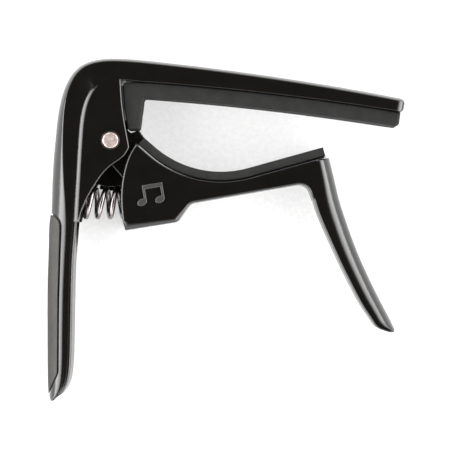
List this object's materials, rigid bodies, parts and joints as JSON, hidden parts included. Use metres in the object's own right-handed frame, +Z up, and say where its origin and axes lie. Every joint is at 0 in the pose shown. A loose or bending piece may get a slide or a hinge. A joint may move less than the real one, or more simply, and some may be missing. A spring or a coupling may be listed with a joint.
{
  "type": "guitar capo",
  "caption": "Trigger guitar capo: a sprung lever with a curved rubber pad clamps a neck against a padded bar; squeezing the two handles opens it.",
  "frame": {"origin": "middle of the bounding box, on the plane of the flat side that the capo lies on", "axes": "+X out along the bar from the pivot, +Y from the handles to the bar, +Z up through the capo's thickness, along the pivot pin"},
  "size_m": [0.0821, 0.0788, 0.0124],
  "materials": {
    "black_paint": "satin",
    "pad_rubber": "matt",
    "grip_rubber": "matt",
    "spring_wire": "dark nickel",
    "pin_steel": "turned",
    "bush_bronze": "sintered",
    "washer_nylon": "natural"
  },
  "bodies": {
    "frame": {"frame_casting": "black_paint", "string_pad": "pad_rubber", "handle_grip": "grip_rubber", "pivot_pin": "pin_steel", "upper_washer": "washer_nylon", "lower_washer": "washer_nylon", "spring": "spring_wire"},
    "lever": {"lever_casting": "black_paint", "neck_pad": "pad_rubber", "pivot_bush": "bush_bronze"}
  },
  "joints": [
    {"name": "lever_pivot", "type": "hinge", "parent": "frame", "child": "lever", "pos_m": [-0.02625, 0.02037, 0.0062], "axis": [0, 0, -1], "range_deg": [0, 30], "stiffness_Nm_per_rad": 1.2, "springref_deg": -22.92, "deforming": ["spring"]}
  ]
}
